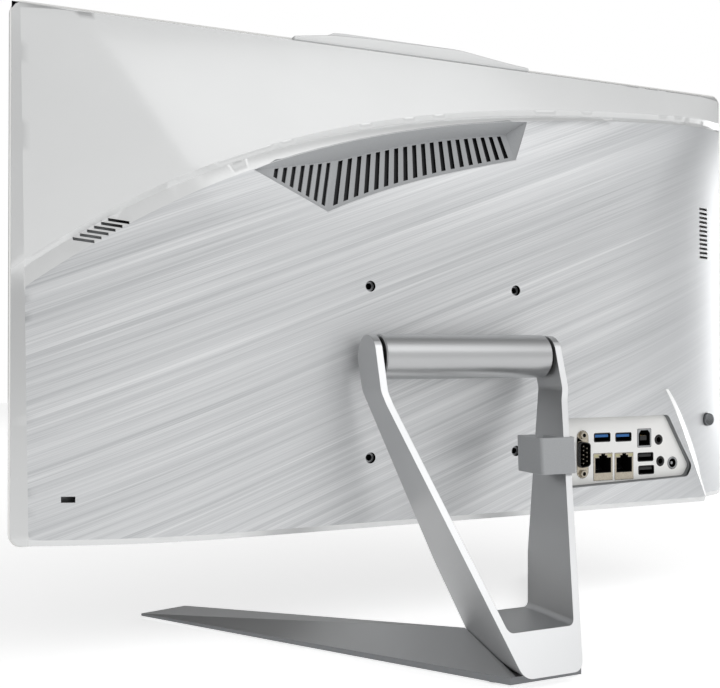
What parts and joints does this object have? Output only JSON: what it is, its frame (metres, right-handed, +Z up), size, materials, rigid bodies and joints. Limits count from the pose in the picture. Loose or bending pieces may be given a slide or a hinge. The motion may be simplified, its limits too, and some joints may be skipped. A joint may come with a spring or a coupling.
{
  "type": "all-in-one computer",
  "caption": "All-in-one computer: slim wide screen with a domed rear cover, vents and sockets, on a tilting hinge over a loop stand with a V-shaped base.",
  "frame": {"origin": "middle of the footprint on the desk, under the object's bounding box", "axes": "+X along the screen's width, -Y out of the screen towards the user, +Z up"},
  "size_m": [0.494, 0.215, 0.3624],
  "materials": {
    "satin_silver": "satin, bead blasted and lacquered",
    "brushed_white": "silver white with fine slanting hairlines under clear lacquer; glossy white above the groove",
    "gloss_white": "glossy moulded",
    "black_glass": "polished, black printed border",
    "lcd_glass": "polarised",
    "white_plastic": "satin moulded",
    "black_plastic": "satin moulded",
    "steel": "zinc plated",
    "nickel": "nickel plated shell",
    "copper": "copper, plain",
    "fin_aluminium": "plain",
    "circuit_board": "solder mask",
    "black_rubber": "matt",
    "button_silver": "satin"
  },
  "bodies": {
    "stand": {"stand_frame": "satin_silver", "base_plate": "satin_silver", "hinge_pin_left": "steel", "hinge_pin_right": "steel", "friction_washer_left": "black_plastic", "friction_washer_right": "black_plastic", "base_foot_left": "black_rubber", "base_foot_right": "black_rubber", "base_foot_rear": "black_rubber", "base_screw_1": "steel", "base_screw_2": "steel"},
    "display": {"front_glass": "black_glass", "front_bezel": "gloss_white", "lcd_cell": "lcd_glass", "backlight_unit": "white_plastic", "panel_chassis": "steel", "rear_cover": "brushed_white", "io_plate": "gloss_white", "vesa_plate": "steel", "motherboard": "circuit_board", "memory_module_1": "circuit_board", "memory_module_2": "circuit_board", "m2_ssd": "circuit_board", "wifi_card": "circuit_board", "clock_battery": "steel", "cpu_cold_plate": "copper", "heat_pipe": "copper", "cpu_heatsink": "fin_aluminium", "blower_housing": "black_plastic", "drive_caddy": "steel", "hard_drive": "fin_aluminium", "speaker_left": "black_plastic", "speaker_right": "black_plastic", "serial_port": "nickel", "usb3_port_1": "nickel", "usb3_port_2": "nickel", "usb2_port_1": "nickel", "usb2_port_2": "nickel", "lan_port_1": "nickel", "lan_port_2": "nickel", "usb_b_port": "black_plastic", "headphone_jack": "black_plastic", "microphone_jack": "black_plastic", "dc_power_jack": "nickel", "button_board": "circuit_board", "camera_module": "black_plastic", "camera_lens": "black_glass", "hinge_bracket": "steel", "hinge_barrel": "satin_silver", "bracket_screw_1": "steel", "bracket_screw_2": "steel", "bracket_screw_3": "steel", "bracket_screw_4": "steel"},
    "power_button": {"power_button": "button_silver"},
    "blower_impeller": {"blower_impeller": "black_plastic"},
    "cable_clip": {"cable_clip": "satin_silver"}
  },
  "joints": [
    {"name": "tilt", "type": "hinge", "parent": "stand", "child": "display", "pos_m": [0, 0.0165, 0.165], "axis": [-1, 0, 0], "range_deg": [-5, 20]},
    {"name": "button_press", "type": "slide", "parent": "display", "child": "power_button", "axis": [0, -1, 0], "range_m": [0, 0.0008], "stiffness_N_per_m": 400, "springref_m": -0.002},
    {"name": "blower_spin", "type": "hinge", "parent": "display", "child": "blower_impeller", "pos_m": [0.035, -0.0241, 0.196], "axis": [0, 1, 0], "continuous": true},
    {"name": "clip_slide", "type": "slide", "parent": "stand", "child": "cable_clip", "axis": [-0.267, -0.4492, 0.8526], "range_m": [-0.035, 0.01]}
  ]
}
